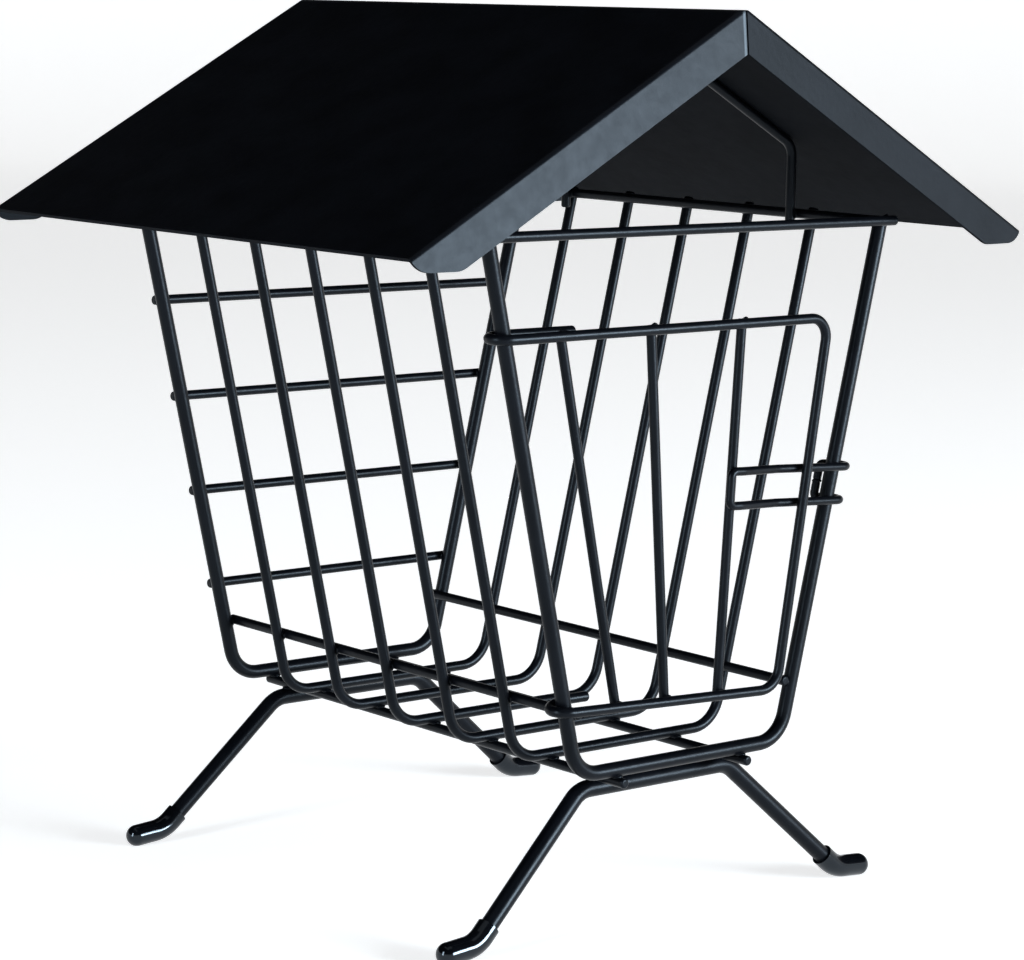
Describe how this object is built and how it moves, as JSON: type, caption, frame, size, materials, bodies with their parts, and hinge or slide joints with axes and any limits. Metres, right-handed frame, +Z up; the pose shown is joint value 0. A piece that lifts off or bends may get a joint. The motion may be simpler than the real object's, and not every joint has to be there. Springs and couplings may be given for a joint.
{
  "type": "hay rack feeder",
  "caption": "Free-standing hay rack feeder: a tapered wire cage on splayed wire legs under a gabled sheet roof, with a hinged and latched wire door.",
  "frame": {"origin": "on the ground, under the middle of the cage", "axes": "+X across the gables to the latch side, +Y from the door gable to the rear gable, +Z up"},
  "size_m": [0.202, 0.183, 0.2296],
  "materials": {
    "coated_wire": "satin",
    "coated_sheet": "satin",
    "vinyl_cap": "gloss"
  },
  "bodies": {
    "rack": {"front_end_frame": "coated_wire", "rear_end_frame": "coated_wire", "hoop_1": "coated_wire", "hoop_2": "coated_wire", "hoop_3": "coated_wire", "hoop_4": "coated_wire", "hoop_5": "coated_wire", "front_top_rail": "coated_wire", "rear_top_rail": "coated_wire", "rear_bar_1": "coated_wire", "rear_bar_2": "coated_wire", "rear_bar_3": "coated_wire", "rear_bar_4": "coated_wire", "floor_rail_left": "coated_wire", "floor_rail_right": "coated_wire", "side_rail_left": "coated_wire", "side_rail_right": "coated_wire", "rim_rail_left": "coated_wire", "rim_rail_right": "coated_wire", "front_legs": "coated_wire", "rear_legs": "coated_wire", "foot_cap_front_left": "vinyl_cap", "foot_cap_front_right": "vinyl_cap", "foot_cap_rear_left": "vinyl_cap", "foot_cap_rear_right": "vinyl_cap", "roof_panel": "coated_sheet", "roof_bow_front": "coated_wire", "roof_bow_rear": "coated_wire"},
    "door": {"door_frame": "coated_wire", "door_bar_1": "coated_wire", "door_bar_2": "coated_wire", "door_bar_3": "coated_wire"},
    "latch": {"door_latch": "coated_wire"}
  },
  "joints": [
    {"name": "door_swing", "type": "hinge", "parent": "rack", "child": "door", "pos_m": [-0.03451, -0.0738, 0.0418], "axis": [0.2257, 0, -0.9742], "range_deg": [0, 110]},
    {"name": "latch_slide", "type": "slide", "parent": "door", "child": "latch", "axis": [0.9985, 0, -0.0541], "range_m": [0, 0.005]}
  ]
}
